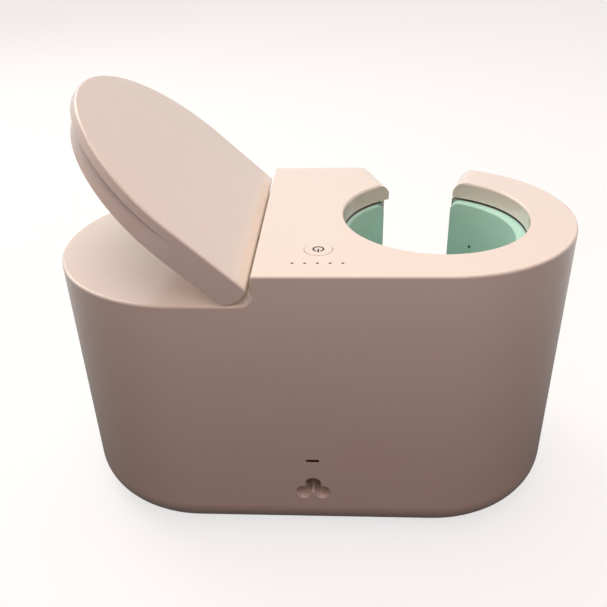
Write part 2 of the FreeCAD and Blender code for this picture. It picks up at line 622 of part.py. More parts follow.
slab = lever_slab("LeverSlab", "endRadius", "leverCentre - lipReach", "leverSole", "leverThick", "leverFace")
face_x = size("pivotX") - size("stepOffset") - size("leverGap")
sole_z = size("pivotDrop") - size("leverThick")
slab_round = fillet("LeverRound", slab, [
    (size("heelRound"), lambda edge: level(edge, sole_z) and crosses_at(edge, face_x)),
    (size("leverHingeRound"), lambda edge: level(edge, size("pivotDrop")) and crosses_at(edge, face_x)),
    (size("leverEdgeRound"), lambda edge: level(edge, size("pivotDrop"))),
])
# The lip overhangs the sole at the tip as a finger hold
lip_block = box("LipBlock", "-farReach", "-farReach / 2", "leverSole - cutSpare", "farReach", "farReach",
                "leverThick - lipThick + cutSpare")
sole_keep = fuse(
    "SoleKeep",
    cylinder("SoleKeepTip", "endRadius", "leverThick + 2 * cutSpare", "leverCentre", "0",
             "leverSole - 2 * cutSpare"),
    box("SoleKeepRun", "leverCentre", "-farReach / 2", "leverSole - 2 * cutSpare", "farReach", "farReach",
        "leverThick + 2 * cutSpare"),
)
cavity = lever_slab("LeverCavity", "endRadius - leverRim", "leverCentre", "leverSole - cutSpare",
                    "skinUnder - leverSole + cutSpare", "-leverCavityEnd")
lever_boss_places = [
    ("-bossNearX", "-bossNearY"), ("-bossNearX", "bossNearY"), ("-bossFarX", "-bossFarY"),
    ("-bossFarX", "bossFarY"),
]
lever_bosses = [
    cylinder("LeverBoss%d" % count, "bossRadius", "leverThick - coverThick", x, y, "leverSole + coverThick")
    for count, (x, y) in enumerate(lever_boss_places, start=1)
]
lever_screws, lever_holes = screws_and_holes(
    "LeverScrew", lever_boss_places, "leverSole",
    "smallHeadRadius", "smallHeadTall", "smallShankRadius", "leverScrewLong",
)
post_clear = []
for side, place_y in (("Front", "-postSpread"), ("Back", "postSpread")):
    sweep = about_hinge("PostSweep" + side, "2 * leverThick", "postHalf + looseGap",
                        "90 - openAngle - postAngle - postSlack", "openAngle + 2 * (postAngle + postSlack)")
    apex = cylinder("PostApex" + side, "trunnionRadius + trunnionSlack", "2 * (postHalf + looseGap)",
                    "0", "0", "-postHalf - looseGap")
    bore = cylinder("TrunnionBore" + side, "trunnionRadius + runGap",
                    "2 * (postHalf + trunnionReach + looseGap)",
                    "0", "0", "-postHalf - trunnionReach - looseGap")
    post_clear.append(holder("PostClear" + side, [fuse("PostClearAll" + side, sweep, apex, bore)],
                             "0", place_y, "0", turn="-90", axis=(1, 0, 0)))
crank_notch = box("CrankNotch", "-leverCavityEnd - neckGap", "-crankThick / 2 - neckGap",
                  "leverSole - cutSpare",
                  "leverCavityEnd + neckGap + notchReach", "crankThick + 2 * neckGap",
                  "frameUnder - leverSole + cutSpare + neckGap")
node(on_lever("LeverTop", [
    cut("LeverTopCut", slab_round, cut("LipCut", lip_block, sole_keep),
        cut("LeverCavityCut", cavity, *lever_bosses),
        *post_clear, crank_notch, *lever_holes),
]), "lever_top")
cover = lever_slab("CoverBlank", "endRadius - leverRim - coverGap", "leverCentre", "leverSole", "coverThick",
                   "-leverCavityEnd - coverGap")
node(on_lever("LeverCover", [cut("LeverCoverCut", cover, *lever_holes)]), "lever_under_cover")
node(on_lever("LeverScrews", [lever_screws]), "lever_screws")
node(on_lever("LeverBumpers", [
    cylinder("BumperFront", "bumperRadius", "bumperTall", "-bumperX", "-bumperY", "leverSole - bumperTall"),
    cylinder("BumperBack", "bumperRadius", "bumperTall", "-bumperX", "bumperY", "leverSole - bumperTall"),
]), "lever_bumpers")
node(on_lever("LeverFrame", [
    box("LeverFramePlate", "-leverCavityEnd - looseGap - frameLong", "-frameHalf", "frameUnder",
        "frameLong", "2 * frameHalf", "frameThick"),
]), "lever_frame")

# Crank arm under the lever, with its cross pin
crank_bar = on_crank("CrankBar", fuse(
    "CrankBarWhole",
    box("CrankBarBlank", "-crankHalf", "-crankThick / 2", "-crankLong", "2 * crankHalf", "crankThick",
        "crankLong - crankStart"),
    cross_pin("CrankEye", "crankEye", "crankThick", "0", "-crankThick / 2", "-crankLong"),
))
crank_foot = box("CrankFoot", "-crankFootLong - leverCavityEnd", "-crankFootHalf",
                 "frameUnder - crankFootThick",
                 "crankFootLong - 2 * neckGap", "2 * crankFootHalf", "crankFootThick")
crank_neck = box("CrankNeck", "-leverCavityEnd - neckReach", "-crankThick / 2",
                 "frameUnder - crankFootThick - neckDrop", "leverCavityEnd + 2 * neckReach", "crankThick",
                 "crankFootThick + neckDrop")
crank_pin_bore = on_crank("CrankPinBore", cross_pin(
    "CrankPinBoreTool", "crankPinRadius + pressGap", "crankThick + 2 * cutSpare", "0",
    "-crankThick / 2 - cutSpare", "-crankLong",
))
node(on_lever("CrankArm", [
    cut("CrankArmCut", fuse("CrankArmWhole", crank_bar, crank_foot, crank_neck), crank_pin_bore),
]), "crank_arm")
node(on_lever("CrankPin", [on_crank("CrankPinTurn", cross_pin(
    "CrankPinRod", "crankPinRadius", "2 * crankPinHalf", "0", "-crankPinHalf", "-crankLong",
))]), "crank_pin")

# Hinge posts on the deck, each with a trunnion on both sides
posts = []
for side, place_y in (("Front", "-postSpread"), ("Back", "postSpread")):
    slice_down = about_hinge("PostSlice" + side, "2 * deckDrop", "postHalf", "90 - postAngle",
                             "2 * postAngle")
    trunnion = cylinder("Trunnion" + side, "trunnionRadius", "2 * (postHalf + trunnionReach)", "0", "0",
                        "-postHalf - trunnionReach")
    above_deck = box("AboveDeck" + side, "-farReach / 2", "-2 * trunnionRadius", "-farReach / 2", "farReach",
                     "2 * trunnionRadius + deckDrop - pivotDrop", "farReach")
    posts.append(holder("Post" + side, [
        common("PostWhole" + side, fuse("PostFuse" + side, slice_down, trunnion), above_deck),
    ], "-pivotX", place_y, "pivotHeight", turn="-90", axis=(1, 0, 0)))
node(cut("HingePosts", group("HingePostsBlank", posts), *post_holes), "hinge_posts")
node(post_screws, "hinge_post_screws")

# Clamp carriage on two rails under the deck
stud_slot = holder("StudSlot", [fuse(
    "StudSlotWhole",
    box("StudSlotRun", "0", "-studRadius - slotSlack", "-cutSpare", "studRun", "2 * (studRadius + slotSlack)",
        "carriagePlate + cutSpare"),
    cylinder("StudSlotOpen", "studRadius + slotSlack", "carriagePlate + cutSpare", "0", "0", "-cutSpare"),
    cylinder("StudSlotShut", "studRadius + slotSlack", "carriagePlate + cutSpare", "studRun", "0",
             "-cutSpare"),
)], "-studX", "0", "plateFoot", turn="180 - atan(studSide / (2 * crankSwing - studForward)) / 1 deg")
carriage_plate = box("CarriagePlate", "carriageX - hubHalf", "-armHalf - plateFront", "plateFoot",
                     "hubHalf + carriageReach", "2 * armHalf + plateFront + plateBack", "carriagePlate")
hub = box("CarriageHub", "carriageX - hubHalf", "-hubSide", "hubFoot", "2 * hubHalf", "2 * hubSide",
          "hubTop - hubFoot")
cheeks = [
    box("Cheek" + side, "carriageX - cheekHalf", y, "hubTop - cheekBite", "2 * cheekHalf", "cheekThick",
        "hubDrop - cheekDrop + cheekBite")
    for side, y in (("Front", "-cheekInner - cheekThick"), ("Back", "cheekInner"))
]
cheek_slot = box("CheekSlot", "carriageX - crankPinRadius - slotSlack", "-hubSide",
                 "pivotHeight - crankLong - crankPinRadius - cheekBite", "2 * (crankPinRadius + slotSlack)",
                 "2 * hubSide", "crankLong")
rail_sides = (("Front", "-railSpread"), ("Back", "railSpread"))
hub_bores = [
    long_pin("HubBore" + side, "railRadius + runGap", "2 * hubHalf + 2 * cutSpare",
             "carriageX - hubHalf - cutSpare", y, "railHeight")
    for side, y in rail_sides
]
carriage_whole = fuse("CarriageWhole", cut("CarriagePlateCut", carriage_plate, stud_slot), hub, *cheeks)
node(cut("ClampCarriage", carriage_whole, cheek_slot, *hub_bores), "clamp_carriage")
node(group("CarriageRails", [
    long_pin("Rail" + side, "railRadius", "railLong", "-railX", y, "railHeight") for side, y in rail_sides
]), "carriage_rails")
rail_bores = [
    long_pin("RailBore" + side, "railRadius + pressGap", "railLong + 2 * cutSpare", "-railX - cutSpare", y,
             "railHeight")
    for side, y in rail_sides
]
for side, left_end, under in (
    ("Left", "-railX", "deckHeight - wallThick"),
    ("Right", "railLong - railX - bracketThick", "ceilingHeight"),
):
    bracket = box("RailBracket%sBlank" % side, left_end, "-bracketHalf", "bracketFoot", "bracketThick",
                  "2 * bracketHalf", under + " - bracketFoot")
    node(cut("RailBracket" + side, bracket, *rail_bores), "rail_bracket_" + side.lower())

# Power button over its switch, and the row of status lights
node(fuse(
    "PowerButton",
    cylinder("ButtonCap", "buttonRadius", "topHeight + buttonProud - brimMiddle", "buttonX", "-buttonY",
             "brimMiddle"),
    cylinder("ButtonBrim", "buttonRadius + buttonBrim", "brimThick", "buttonX", "-buttonY",
             "brimMiddle - brimThick / 2"),
    cylinder("ButtonStem", "stemRadius", "brimMiddle - plungerTop", "buttonX", "-buttonY", "plungerTop"),
), "power_button")
node(cylinder("SwitchPlunger", "plungerRadius", "plungerTop - plungerFoot", "buttonX", "-buttonY",
              "plungerFoot"),
     "switch_plunger")
node(cut(
    "SwitchBody",
    box("SwitchBlock", "buttonX - switchHalf", "-buttonY - switchHalf", "boardTop",
        "2 * switchHalf", "2 * switchHalf", "switchTall"),
    cylinder("SwitchBore", "plungerRadius + runGap", "switchTall", "buttonX", "-buttonY",
             "plungerFoot - buttonTravel - looseGap"),
), "switch_body")
board_blank = box("SwitchBoardBlank", "buttonX - boardScrewX - boardMargin", "-boardFarY - boardMargin",
                  "boardHeight", "2 * (boardScrewX + boardMargin)",
                  "boardFarY - boardNearY + 2 * boardMargin",
                  "boardThick")
node(cut("SwitchBoard", board_blank, *board_holes), "switch_board")
node(board_screws, "switch_board_screws")
node(group("StatusLeds", [
    box("Led%d" % count, x + " - ledHalf", "-lightY - ledHalf", "boardTop", "2 * ledHalf", "2 * ledHalf",
        "ledTall")
    for count, x in enumerate(light_places, start=1)
]), "status_leds")
node(group("LightPipes", [
    cylinder("LightPipe%d" % count, "lightRadius", "topHeight - boardTop - ledTall", x, "-lightY",
             "boardTop + ledTall")
    for count, x in enumerate(light_places, start=1)
]), "light_pipes")

# Mains inlet and charging socket on an upright board behind the wall
inlet_block = box("InletBlock", "-inletHalf", "wallInside", "inletHeight - inletTall / 2",
                  "2 * inletHalf", "inletDeep", "inletTall")
inlet_hollow = clover("InletHollow", "0", "wallInside - cutSpare", "inletDeep - inletFloor + cutSpare")
node(cut("InletSocket", inlet_block, inlet_hollow), "inlet_socket")
node(group("InletPins", [
    cross_pin("InletPin%d" % count, "inletPinRadius", "inletDeep - inletFloor - inletPinStart", x,
              "wallInside + inletPinStart", z)
    for count, (x, z) in enumerate(
        [("-lobeSpread", "lobeLow"), ("lobeSpread", "lobeLow"), ("0", "lobeHigh")], start=1)
]), "inlet_pins")
node(cut(
    "UsbShell",
    box("UsbShellBlank", "-usbHalfWide - usbShellThick", "wallInside",
        "usbHeight - usbHalfTall - usbShellThick",
        "2 * (usbHalfWide + usbShellThick)", "inletDeep", "2 * (usbHalfTall + usbShellThick)"),
    box("UsbShellBore", "-usbHalfWide", "wallInside - cutSpare", "usbHeight - usbHalfTall",
        "2 * usbHalfWide", "inletDeep - usbFloor + cutSpare", "2 * usbHalfTall"),
), "usb_shell")
node(box("UsbTongue", "-usbHalfWide + tongueSide", "wallInside + usbFloor", "usbHeight - tongueHalf",
         "2 * (usbHalfWide - tongueSide)", "inletDeep - 2 * usbFloor", "2 * tongueHalf"), "usb_tongue")
node(box("InletBoard", "-inletHalf - boardMargin", "wallInside + inletDeep", "plateTop",
         "2 * (inletHalf + boardMargin)", "boardThick", "usbHeight + 2 * boardMargin - plateTop"),
         "inlet_board")

# Power board with its larger parts
node(box("PowerBoard", "-powerBoardX - powerBoardHalf", "-powerBoardSide", "powerBoardHeight",
         "2 * powerBoardHalf", "2 * powerBoardSide", "boardThick"), "power_board")
node(cylinder("Capacitor", "capacitorRadius", "capacitorTall", "-powerBoardX - capacitorX", "-capacitorY",
              "powerBoardTop"), "smoothing_capacitor")
node(cut(
    "Choke",
    cylinder("ChokeRing", "chokeRadius", "chokeTall", "chokeX - powerBoardX", "chokeY", "powerBoardTop"),
    cylinder("ChokeHole", "chokeRadius - chokeWall", "chokeTall + 2 * cutSpare", "chokeX - powerBoardX",
             "chokeY",
             "powerBoardTop - cutSpare"),
), "filter_choke")
node(box("Relay", "relayX - powerBoardX", "-relayY", "powerBoardTop", "relayLong", "relayWide", "relayTall"),
     "power_relay")
sink_fins = [
    box("SinkFin%d" % count, "-powerBoardX - sinkX", "sinkY + %d * finPitch" % count, "powerBoardTop",
        "sinkLong", "finThick", "sinkTall")
    for count in range(fin_count)
]
sink_base = box("SinkBase", "-powerBoardX - sinkX", "sinkY", "powerBoardTop", "sinkLong",
                "%d * finPitch + finThick" % (fin_count - 1), "sinkBase")
node(fuse("Heatsink", sink_base, *sink_fins), "heatsink")

doc.recompute()

# Nothing is written unless every object is sound
for thing in doc.Objects:
    if "Invalid" in thing.State or "Error" in thing.State:
        raise ValueError("%s failed: %s" % (thing.Name, thing.State))
for thing in bound_nodes:
    if thing.Shape.isNull() or not thing.Shape.isValid() or not thing.Shape.Solids:
        raise ValueError("the shape of %s is not sound" % thing.Label)

os.makedirs("parts", exist_ok=True)
for thing in bound_nodes:
    thing.Shape.exportStep("parts/%s.step" % thing.Label)
    print("%-20s %2d solids %10.1f mm3" % (thing.Label, len(thing.Shape.Solids), thing.Shape.Volume))
print(len(bound_nodes), "nodes")
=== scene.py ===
import json
import math
import bmesh
import bpy
from mathutils import Matrix, Vector


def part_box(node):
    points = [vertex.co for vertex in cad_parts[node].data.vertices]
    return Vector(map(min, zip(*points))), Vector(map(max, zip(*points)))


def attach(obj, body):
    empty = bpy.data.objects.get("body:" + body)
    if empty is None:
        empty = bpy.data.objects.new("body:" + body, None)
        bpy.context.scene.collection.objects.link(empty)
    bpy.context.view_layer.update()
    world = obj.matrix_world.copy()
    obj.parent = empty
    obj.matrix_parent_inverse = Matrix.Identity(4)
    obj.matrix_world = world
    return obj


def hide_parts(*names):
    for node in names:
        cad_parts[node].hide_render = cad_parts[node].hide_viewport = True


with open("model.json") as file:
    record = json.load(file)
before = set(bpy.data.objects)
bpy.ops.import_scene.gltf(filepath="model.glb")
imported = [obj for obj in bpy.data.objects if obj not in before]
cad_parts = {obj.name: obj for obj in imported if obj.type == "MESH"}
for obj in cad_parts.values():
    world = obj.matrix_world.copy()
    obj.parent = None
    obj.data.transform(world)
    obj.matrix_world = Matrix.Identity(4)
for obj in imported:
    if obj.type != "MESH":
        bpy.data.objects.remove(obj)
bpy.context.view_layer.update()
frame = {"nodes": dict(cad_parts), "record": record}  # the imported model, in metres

print("frame loaded with", len(frame["nodes"]), "nodes")

scene = bpy.context.scene
scene.view_settings.view_transform = "Standard"


# building shader nodes
def addNode(tree, kind, inputs=None, **settings):  # an input is a plain value or another node's output
    node = tree.nodes.new(kind)
    for name, value in settings.items():
        setattr(node, name, value)
    for name, value in (inputs or {}).items():
        if isinstance(value, bpy.types.NodeSocket):
            tree.links.new(value, node.inputs[name])
        else:
            node.inputs[name].default_value = value
    return node


def maths(tree, operation, first, second):
    return addNode(tree, "ShaderNodeMath", {0: first, 1: second}, operation=operation).outputs[0]


def noise(tree, where, scale, more):
    return addNode(tree, "ShaderNodeTexNoise", {"Vector": where, "Scale": scale, **more}).outputs["Fac"]


def spread(tree, value, span, first, second):  # lays the span of a value over first to second
    return addNode(tree, "ShaderNodeMapRange", {"Value": value, "From Min": span[0], "From Max": span[1],
                                                "To Min": first, "To Max": second}).outputs["Result"]


def ramp(tree, factor, *stops):
    node = addNode(tree, "ShaderNodeValToRGB", {"Fac": factor})
    for point, (place, shade) in zip(node.color_ramp.elements, stops):
        point.position = place
        point.color = (shade, shade, shade, 1.0)
    return node.outputs["Color"]


def mixed(tree, factor, first, second, blend="MIX"):
    return addNode(tree, "ShaderNodeMix", {0: factor, 6: first, 7: second}, data_type="RGBA",
                   blend_type=blend).outputs[2]


def onPiece(tree):  # place on the piece, in metres
    return addNode(tree, "ShaderNodeTexCoord").outputs["Object"]


def linear(red, green, blue):  # a colour picked on screen, 0 to 255, as the shader wants it
    def one(part):
        part /= 255.0
        return part / 12.92 if part <= 0.04045 else ((part + 0.055) / 1.055) ** 2.4
    return (one(red), one(green), one(blue), 1.0)


def newGroup(name, inputs, outputs):  # the group, what it is given and what it puts out
    tree = bpy.data.node_groups.new(name, "ShaderNodeTree")
    for label, kind, start in inputs:
        socket = tree.interface.new_socket(label, in_out="INPUT", socket_type="NodeSocket" + kind)
        socket.default_value = start
    for label, kind in outputs:
        tree.interface.new_socket(label, in_out="OUTPUT", socket_type="NodeSocket" + kind)
    return tree, tree.nodes.new("NodeGroupInput").outputs, tree.nodes.new("NodeGroupOutput").inputs


# effects that several finishes share, each one a group
def makeToneDrift(look):  # slow drift between two tones, as in any moulded or rolled sheet
    tree, given, out = newGroup(
        "tone_drift",
        [("Tone", "Color", (0.8, 0.8, 0.8, 1.0)), ("Other Tone", "Color", (0.7, 0.7, 0.7, 1.0)),
         ("Patches Per Metre", "Float", 12.0), ("Speckle", "Float", 0.1)],
        [("Colour", "Color")])
    where = onPiece(tree)
    slow = noise(tree, where, given["Patches Per Metre"], {"Detail": 3.0, "Roughness": look["patchBreak"]})
    fine = noise(tree, where, look["specksPerMetre"], {"Detail": 2.0})
    patches = ramp(tree, slow, (look["patchSpan"][0], 0.0), (look["patchSpan"][1], 1.0))
    specks = ramp(tree, fine, (look["speckSpan"][0], 0.0), (look["speckSpan"][1], 1.0))
    shift = maths(tree, "MULTIPLY", maths(tree, "SUBTRACT", specks, 0.5), given["Speckle"])
    mask = maths(tree, "ADD", patches, shift)
    tree.links.new(mixed(tree, mask, given["Tone"], given["Other Tone"]), out["Colour"])
    return tree


def makeGlossSkin(look):  # the long waves and fine pits of glossy moulded plastic, with wiped-over haze
    tree, given, out = newGroup(
        "gloss_skin",
        [("Wave Depth", "Float", 1.0), ("Pit Depth", "Float", 0.1),
         ("Clean Roughness", "Float", 0.12), ("Hazy Roughness", "Float", 0.2)],
        [("Height", "Float"), ("Roughness", "Float")])
    where = onPiece(tree)
    waves = noise(tree, where, look["wavesPerMetre"], {"Detail": 1.0})
    pits = noise(tree, where, look["pitsPerMetre"], {"Detail": 2.0})
    haze = noise(tree, where, look["hazePerMetre"],
                 {"Detail": 6.0, "Roughness": look["hazeBreak"], "Distortion": look["hazeSwirl"]})
    height = maths(tree, "ADD", maths(tree, "MULTIPLY", waves, given["Wave Depth"]),
                   maths(tree, "MULTIPLY", pits, given["Pit Depth"]))
    tree.links.new(height, out["Height"])
    tree.links.new(spread(tree, haze, look["hazeSpan"], given["Clean Roughness"], given["Hazy Roughness"]),
                   out["Roughness"])
    return tree


def makeFineGrain(look):  # spark-eroded, cast or rubbery grain
    tree, given, out = newGroup(
        "fine_grain",
        [("Grains Per Metre", "Float", 1800.0), ("Softness", "Float", 0.5),
         ("Smooth Roughness", "Float", 0.45), ("Rough Roughness", "Float", 0.65)],
        [("Height", "Float"), ("Roughness", "Float")])
    where = onPiece(tree)
    grain = noise(tree, where, given["Grains Per Metre"], {"Detail": 3.0, "Roughness": given["Softness"]})
    cells = addNode(tree, "ShaderNodeTexVoronoi", {"Vector": where, "Scale": given["Grains Per Metre"]})
    height = maths(tree, "ADD", grain, maths(tree, "MULTIPLY", cells.outputs["Distance"], look["cellShare"]))
    tree.links.new(height, out["Height"])
    tree.links.new(spread(tree, grain, look["span"], given["Smooth Roughness"], given["Rough Roughness"]),
                   out["Roughness"])
    return tree


def makeBrushedLines(look):  # lines left by rolling or brushing: long one way, fine the other
    tree, given, out = newGroup(
        "brushed_lines",
        [("Stretch", "Vector", (20.0, 20.0, 2400.0)), ("Smooth Roughness", "Float", 0.25),
         ("Rough Roughness", "Float", 0.42)],
        [("Height", "Float"), ("Roughness", "Float")])
    drawn = addNode(tree, "ShaderNodeVectorMath", {0: onPiece(tree), 1: given["Stretch"]},
                    operation="MULTIPLY")
    lines = noise(tree, drawn.outputs["Vector"], 1.0, {"Detail": 4.0, "Roughness": look["lineBreak"]})
    tree.links.new(lines, out["Height"])
    tree.links.new(spread(tree, lines, look["span"], given["Smooth Roughness"], given["Rough Roughness"]),
                   out["Roughness"])
    return tree


toneDrift = makeToneDrift({"specksPerMetre": 2600.0, "patchBreak": 0.55, "patchSpan": (0.32, 0.68),
                           "speckSpan": (0.35, 0.65)})
glossSkin = makeGlossSkin({"wavesPerMetre": 32.0, "pitsPerMetre": 900.0, "hazePerMetre": 55.0,
                           "hazeBreak": 0.6, "hazeSwirl": 0.6, "hazeSpan": (0.35, 0.7)})
fineGrain = makeFineGrain({"cellShare": 0.35, "span": (0.3, 0.7)})
brushedLines = makeBrushedLines({"lineBreak": 0.6, "span": (0.3, 0.7)})
print("effect groups made")


# one material for each finish
def startMaterial(name):
    material = bpy.data.materials.new(name)
    material.use_nodes = True
    return material, material.node_tree, material.node_tree.nodes["Principled BSDF"]


def placed(tree, effect, values):  # an effect's group, set for one finish
    group = addNode(tree, "ShaderNodeGroup", node_tree=effect)
    for name, value in values.items():
        group.inputs[name].default_value = value
    return group


def toned(tree, shader, look):
    group = placed(tree, toneDrift, {"Tone": look["tone"], "Other Tone": look["otherTone"],
                                     "Patches Per Metre": look["patches"], "Speckle": look["speckle"]})
    tree.links.new(group.outputs["Colour"], shader.inputs["Base Color"])


def surfaced(tree, shader, look, effect, values):
    group = placed(tree, effect, values)
    bump = addNode(tree, "ShaderNodeBump", {"Height": group.outputs["Height"], "Strength": look["bump"],
                                            "Distance": look["depth"]})
    tree.links.new(group.outputs["Roughness"], shader.inputs["Roughness"])
    tree.links.new(bump.outputs["Normal"], shader.inputs["Normal"])


def glossPlastic(name, look):
    material, tree, shader = startMaterial(name)
    toned(tree, shader, look)
    surfaced(tree, shader, look, glossSkin,
             {"Wave Depth": look["waves"], "Pit Depth": look["pits"],
              "Clean Roughness": look["clean"], "Hazy Roughness": look["hazy"]})
    shader.inputs["IOR"].default_value = look["ior"]
    shader.inputs["Coat Weight"].default_value = look["coat"]
    shader.inputs["Coat Roughness"].default_value = look["coatRoughness"]
    return material


def grainy(name, look):
    material, tree, shader = startMaterial(name)
    toned(tree, shader, look)
    surfaced(tree, shader, look, fineGrain,
             {"Grains Per Metre": look["grains"], "Softness": look["softness"],
              "Smooth Roughness": look["smooth"], "Rough Roughness": look["rough"]})
    for socket, setting in (("Metallic", "metallic"), ("Sheen Weight", "sheen"), ("IOR", "ior")):
        if setting in look:
            shader.inputs[socket].default_value = look[setting]
    return material


def brushed(name, look):
    material, tree, shader = startMaterial(name)
    toned(tree, shader, look)
    surfaced(tree, shader, look, brushedLines,
             {"Stretch": look["stretch"], "Smooth Roughness": look["smooth"],
              "Rough Roughness": look["rough"]})
    shader.inputs["Metallic"].default_value = 1.0
    return material


glossLooks = {
    "shell_plastic": dict(
        tone=linear(244, 235, 226), otherTone=linear(246, 233, 225), patches=9.0, speckle=0.05, bump=0.08,
        depth=0.002, waves=1.0, pits=0.01, clean=0.14, hazy=0.2, ior=1.5, coat=0.25, coatRoughness=0.06),
    "clear_plastic": dict(
        tone=linear(118, 84, 74), otherTone=linear(104, 74, 66), patches=400.0, speckle=0.1, bump=0.05,
        depth=0.001, waves=0.3, pits=0.05, clean=0.2, hazy=0.3, ior=1.49, coat=0.0, coatRoughness=0.1),
}
grainLooks = {
    "base_plastic": dict(
        tone=linear(233, 221, 212), otherTone=linear(224, 211, 202), patches=14.0, speckle=0.2, bump=0.25,
        depth=0.0002, grains=1500.0, softness=0.5, smooth=0.4, rough=0.55),
    "platform_plastic": dict(
        tone=linear(54, 54, 56), otherTone=linear(44, 44, 47), patches=40.0, speckle=0.3, bump=0.3,
        depth=0.0002, grains=1600.0, softness=0.6, smooth=0.55, rough=0.7),
    "soft_mat": dict(
        tone=linear(84, 87, 88), otherTone=linear(72, 75, 77), patches=50.0, speckle=0.3, bump=0.35,
        depth=0.0002, grains=1200.0, softness=0.4, smooth=0.65, rough=0.8),
    "heater_silicone": dict(
        tone=linear(193, 242, 229), otherTone=linear(185, 232, 219), patches=28.0, speckle=0.25, bump=0.2,
        depth=0.0002, grains=1500.0, softness=0.5, smooth=0.4, rough=0.52, ior=1.42),
    "lagging_felt": dict(
        tone=linear(226, 222, 206), otherTone=linear(204, 198, 180), patches=180.0, speckle=0.6, bump=0.8,
        depth=0.0006, grains=900.0, softness=0.9, smooth=0.85, rough=0.98, sheen=0.3),
    "hinge_metal": dict(
        tone=linear(150, 150, 152), otherTone=linear(128, 128, 131), patches=90.0, speckle=0.4, bump=0.5,
        depth=0.0003, grains=1300.0, softness=0.7, smooth=0.4, rough=0.6, metallic=1.0),
    "drive_plastic": dict(
        tone=linear(222, 220, 212), otherTone=linear(208, 206, 197), patches=60.0, speckle=0.5, bump=0.2,
        depth=0.0002, grains=1700.0, softness=0.5, smooth=0.4, rough=0.55),
    "black_rubber": dict(
        tone=linear(34, 34, 35), otherTone=linear(46, 45, 45), patches=120.0, speckle=0.3, bump=0.4,
        depth=0.0002, grains=1400.0, softness=0.6, smooth=0.6, rough=0.78),
    "black_plastic": dict(
        tone=linear(38, 37, 39), otherTone=linear(30, 30, 31), patches=80.0, speckle=0.3, bump=0.25,
        depth=0.0002, grains=1900.0, softness=0.5, smooth=0.42, rough=0.6),
    "printed_ink": dict(
        tone=linear(62, 44, 38), otherTone=linear(54, 40, 36), patches=200.0, speckle=0.3, bump=0.1,
        depth=0.0001, grains=2600.0, softness=0.5, smooth=0.4, rough=0.55),
    # painted shade: the slot's lining is darkened to stand in for the shade in the socket's mouth
    "socket_lining": dict(
        tone=linear(98, 62, 60), otherTone=linear(88, 56, 54), patches=200.0, speckle=0.2, bump=0.15,
        depth=0.0001, grains=2400.0, softness=0.5, smooth=0.45, rough=0.6),
    "ferrite": dict(
        tone=linear(70, 68, 70), otherTone=linear(52, 51, 54), patches=160.0, speckle=0.5, bump=0.4,
        depth=0.0002, grains=2200.0, softness=0.7, smooth=0.5, rough=0.75),
}
brushLooks = {
    "cup_metal": dict(
        tone=linear(222, 222, 221), otherTone=linear(208, 208, 209), patches=30.0, speckle=0.2, bump=0.12,
        depth=0.0002, stretch=(25.0, 25.0, 2600.0), smooth=0.24, rough=0.4),
    "jaw_metal": dict(
        tone=linear(206, 206, 208), otherTone=linear(190, 190, 193), patches=40.0, speckle=0.2, bump=0.12,
        depth=0.0002, stretch=(30.0, 30.0, 2200.0), smooth=0.28, rough=0.42),
    "steel": dict(
        tone=linear(202, 202, 205), otherTone=linear(186, 186, 190), patches=120.0, speckle=0.2, bump=0.1,
        depth=0.0001, stretch=(900.0, 900.0, 60.0), smooth=0.2, rough=0.35),
    "contact_metal": dict(
        tone=linear(228, 226, 220), otherTone=linear(214, 211, 204), patches=150.0, speckle=0.1, bump=0.06,
        depth=0.0001, stretch=(900.0, 60.0, 900.0), smooth=0.12, rough=0.25),
    # painted shade: the sensor tip is darkened to stand in for the shade in its hole
    "sensor_cap": dict(
        tone=linear(58, 64, 58), otherTone=linear(48, 54, 50), patches=400.0, speckle=0.2, bump=0.1,
        depth=0.0001, stretch=(900.0, 900.0, 900.0), smooth=0.4, rough=0.55),
    # painted shade: the socket's shell is darkened to stand in for the shade in its slot
    "socket_metal": dict(
        tone=linear(74, 58, 54), otherTone=linear(62, 50, 46), patches=300.0, speckle=0.2, bump=0.06,
        depth=0.0001, stretch=(900.0, 60.0, 900.0), smooth=0.35, rough=0.5),
    "sink_metal": dict(
        tone=linear(196, 197, 199), otherTone=linear(180, 181, 184), patches=60.0, speckle=0.2, bump=0.15,
        depth=0.0002, stretch=(40.0, 1800.0, 1800.0), smooth=0.3, rough=0.45),
}

finish = {}
for makeFinish, looks in ((glossPlastic, glossLooks), (grainy, grainLooks), (brushed, brushLooks)):
    for name, look in looks.items():
        finish[name] = makeFinish(name, look)


def makeBoard(look):  # solder mask over copper tracks, with the glass cloth just showing
    material, tree, shader = startMaterial("board")
    where = onPiece(tree)
    tracks = addNode(tree, "ShaderNodeTexBrick", {"Vector": where, "Scale": look["tracksPerMetre"],
                                                  "Mortar Size": look["trackWidth"],
                                                  "Mortar": look["track"], "Color1": look["mask"],
                                                  "Color2": look["otherMask"]})
    cloth = noise(tree, where, look["clothPerMetre"], {"Detail": 2.0})
    cover = ramp(tree, cloth, (look["clothSpan"][0], look["clothShade"]), (look["clothSpan"][1], 1.0))
    worn = mixed(tree, 1.0, tracks.outputs["Color"], cover, "MULTIPLY")
    tree.links.new(worn, shader.inputs["Base Color"])
    bump = addNode(tree, "ShaderNodeBump", {"Height": tracks.outputs["Fac"], "Strength": look["bump"],
                                            "Distance": look["depth"]})
    tree.links.new(bump.outputs["Normal"], shader.inputs["Normal"])
    shader.inputs["Roughness"].default_value = look["roughness"]
    return material


finish["board"] = makeBoard(dict(
    mask=linear(28, 92, 58), otherMask=linear(24, 84, 52), track=linear(46, 124, 80), tracksPerMetre=300.0,
    trackWidth=0.06, clothPerMetre=1500.0, clothSpan=(0.3, 0.7), clothShade=0.85, bump=0.3, depth=0.0001,
    roughness=0.35))

slotOf = {part["node"]: part["material_slot"] for part in frame["record"]["subparts"]}
ownLook = {"temperature_sensor": "sensor_cap", "usb_shell": "socket_metal"}  # nodes darker than their slot, with painted shade: the socket's shell and the sensor tip
for name, node in frame["nodes"].items():
    for holder in node.material_slots:
        holder.material = finish[ownLook.get(name, slotOf[name])]
print("materials made:", len(finish))


